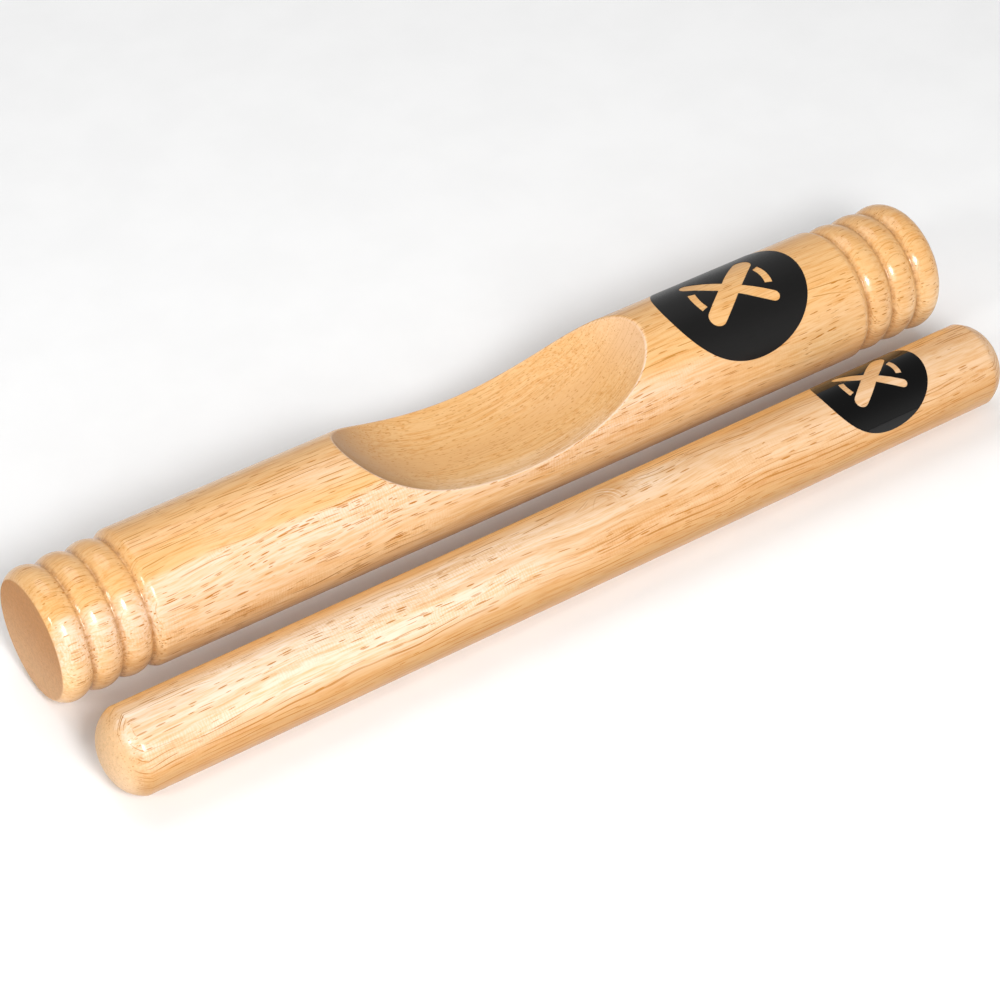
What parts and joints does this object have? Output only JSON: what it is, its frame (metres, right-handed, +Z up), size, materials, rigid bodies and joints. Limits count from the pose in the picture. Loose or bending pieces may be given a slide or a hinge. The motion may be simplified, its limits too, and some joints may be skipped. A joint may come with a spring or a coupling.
{
  "type": "pair of wooden claves",
  "caption": "Pair of lacquered hardwood claves: a thick beaded stick with a scooped hollow on top, and a slim round-ended striker lying beside it.",
  "frame": {"origin": "middle of the footprint of the pair, on the surface that both sticks lie on", "axes": "+X along the scooped clave towards the badges, +Z up out of the scoop, -Y towards the striker clave"},
  "size_m": [0.2836, 0.0726, 0.0382],
  "materials": {
    "clave_wood": "clear gloss lacquer over pale straight-grained hardwood",
    "striker_wood": "clear gloss lacquer over pale straight-grained hardwood",
    "clave_badge_print": "satin black print",
    "striker_badge_print": "glossy black print"
  },
  "bodies": {
    "scooped_stick": {"scooped_clave": "clave_wood", "scooped_clave_badge": "clave_badge_print"},
    "striker_stick": {"striker_clave": "striker_wood", "striker_clave_badge": "striker_badge_print"}
  },
  "joints": [
    {"name": "striker_lift", "type": "slide", "parent": "scooped_stick", "child": "striker_stick", "axis": [0, 0, 1], "range_m": [0, 0.12]}
  ]
}
